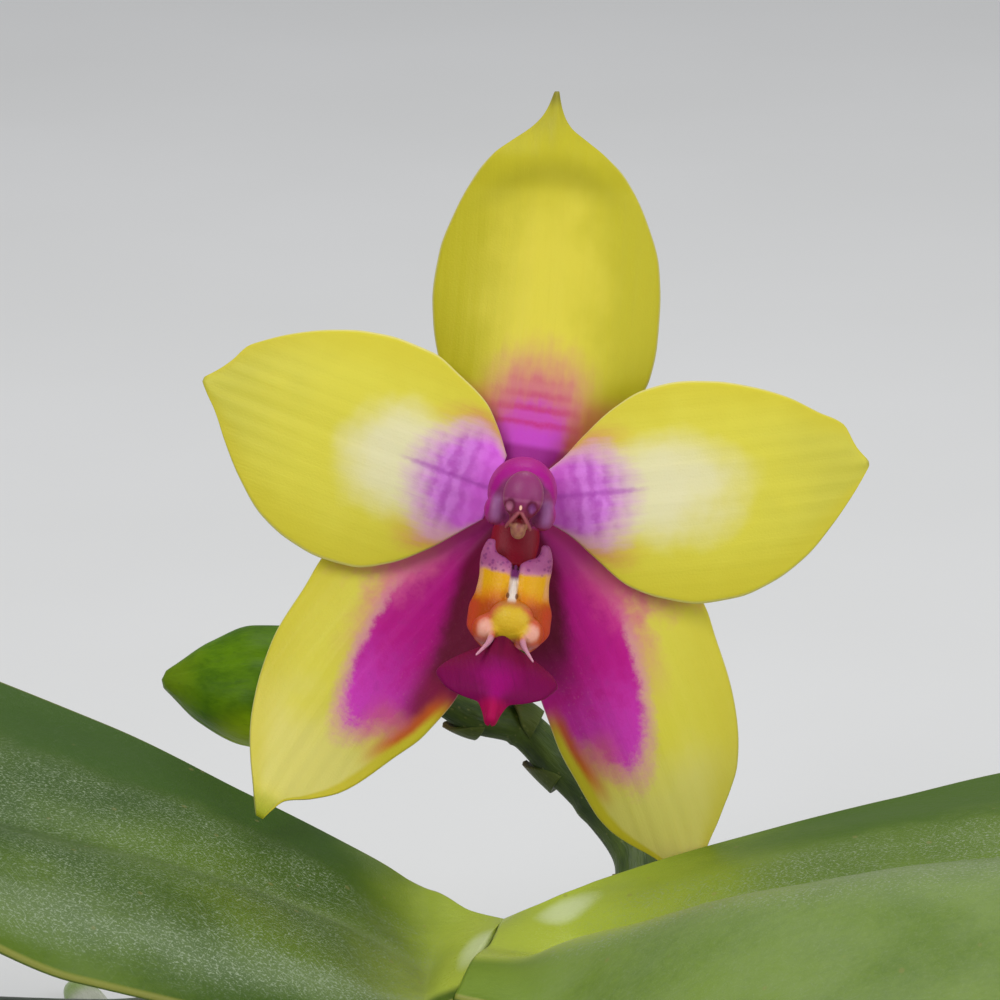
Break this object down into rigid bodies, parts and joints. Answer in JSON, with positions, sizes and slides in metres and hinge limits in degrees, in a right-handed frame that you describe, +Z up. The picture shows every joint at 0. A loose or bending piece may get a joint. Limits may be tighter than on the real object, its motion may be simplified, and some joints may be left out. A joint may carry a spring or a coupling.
{
  "type": "moth orchid plant",
  "caption": "Bare-rooted moth orchid in flower: a star-shaped bloom and a bud on a short spike behind broad leaves, standing on its roots.",
  "frame": {"origin": "centre of the stem's flat lower end, on the surface that the plant stands on", "axes": "+Z up, +X to the right along the upper right leaf, -Y the way that the bloom faces"},
  "size_m": [0.3094, 0.1977, 0.1145],
  "materials": {
    "petal_yellow": "waxy yellow petal, whitish and pink towards the centre",
    "sepal_magenta_and_yellow": "waxy yellow sepal with a magenta inner half",
    "column_mauve": "waxy pink-purple",
    "anther_cream": "pale pink, slightly glossy",
    "lip_orange": "orange and yellow with white and purple tops",
    "lip_magenta": "dark magenta velvet",
    "stalk_green": "smooth dark green stalk with bracts",
    "bud_green": "waxy fresh green",
    "leaf_green": "leathery green with a satin, dusty sheen",
    "stem_green": "dull green and brown",
    "root_silver": "silvery, dry, spongy skin with green tips"
  },
  "bodies": {
    "root": {"dorsal_sepal": "petal_yellow", "petal_left": "petal_yellow", "petal_right": "petal_yellow", "lateral_sepal_left": "sepal_magenta_and_yellow", "lateral_sepal_right": "sepal_magenta_and_yellow", "column": "column_mauve", "anther_cap": "anther_cream", "lip_base": "lip_orange", "lip_midlobe": "lip_magenta", "bloom_stalk": "stalk_green", "flower_spike": "stalk_green", "bud": "bud_green", "leaf_upper_left": "leaf_green", "leaf_upper_right": "leaf_green", "leaf_lower_left": "leaf_green", "leaf_lower_right": "leaf_green", "stem": "stem_green", "root_01": "root_silver", "root_02": "root_silver", "root_03": "root_silver", "root_04": "root_silver", "root_05": "root_silver", "root_06": "root_silver", "root_07": "root_silver", "root_08": "root_silver", "root_09": "root_silver", "root_10": "root_silver", "root_11": "root_silver"}
  },
  "joints": []
}
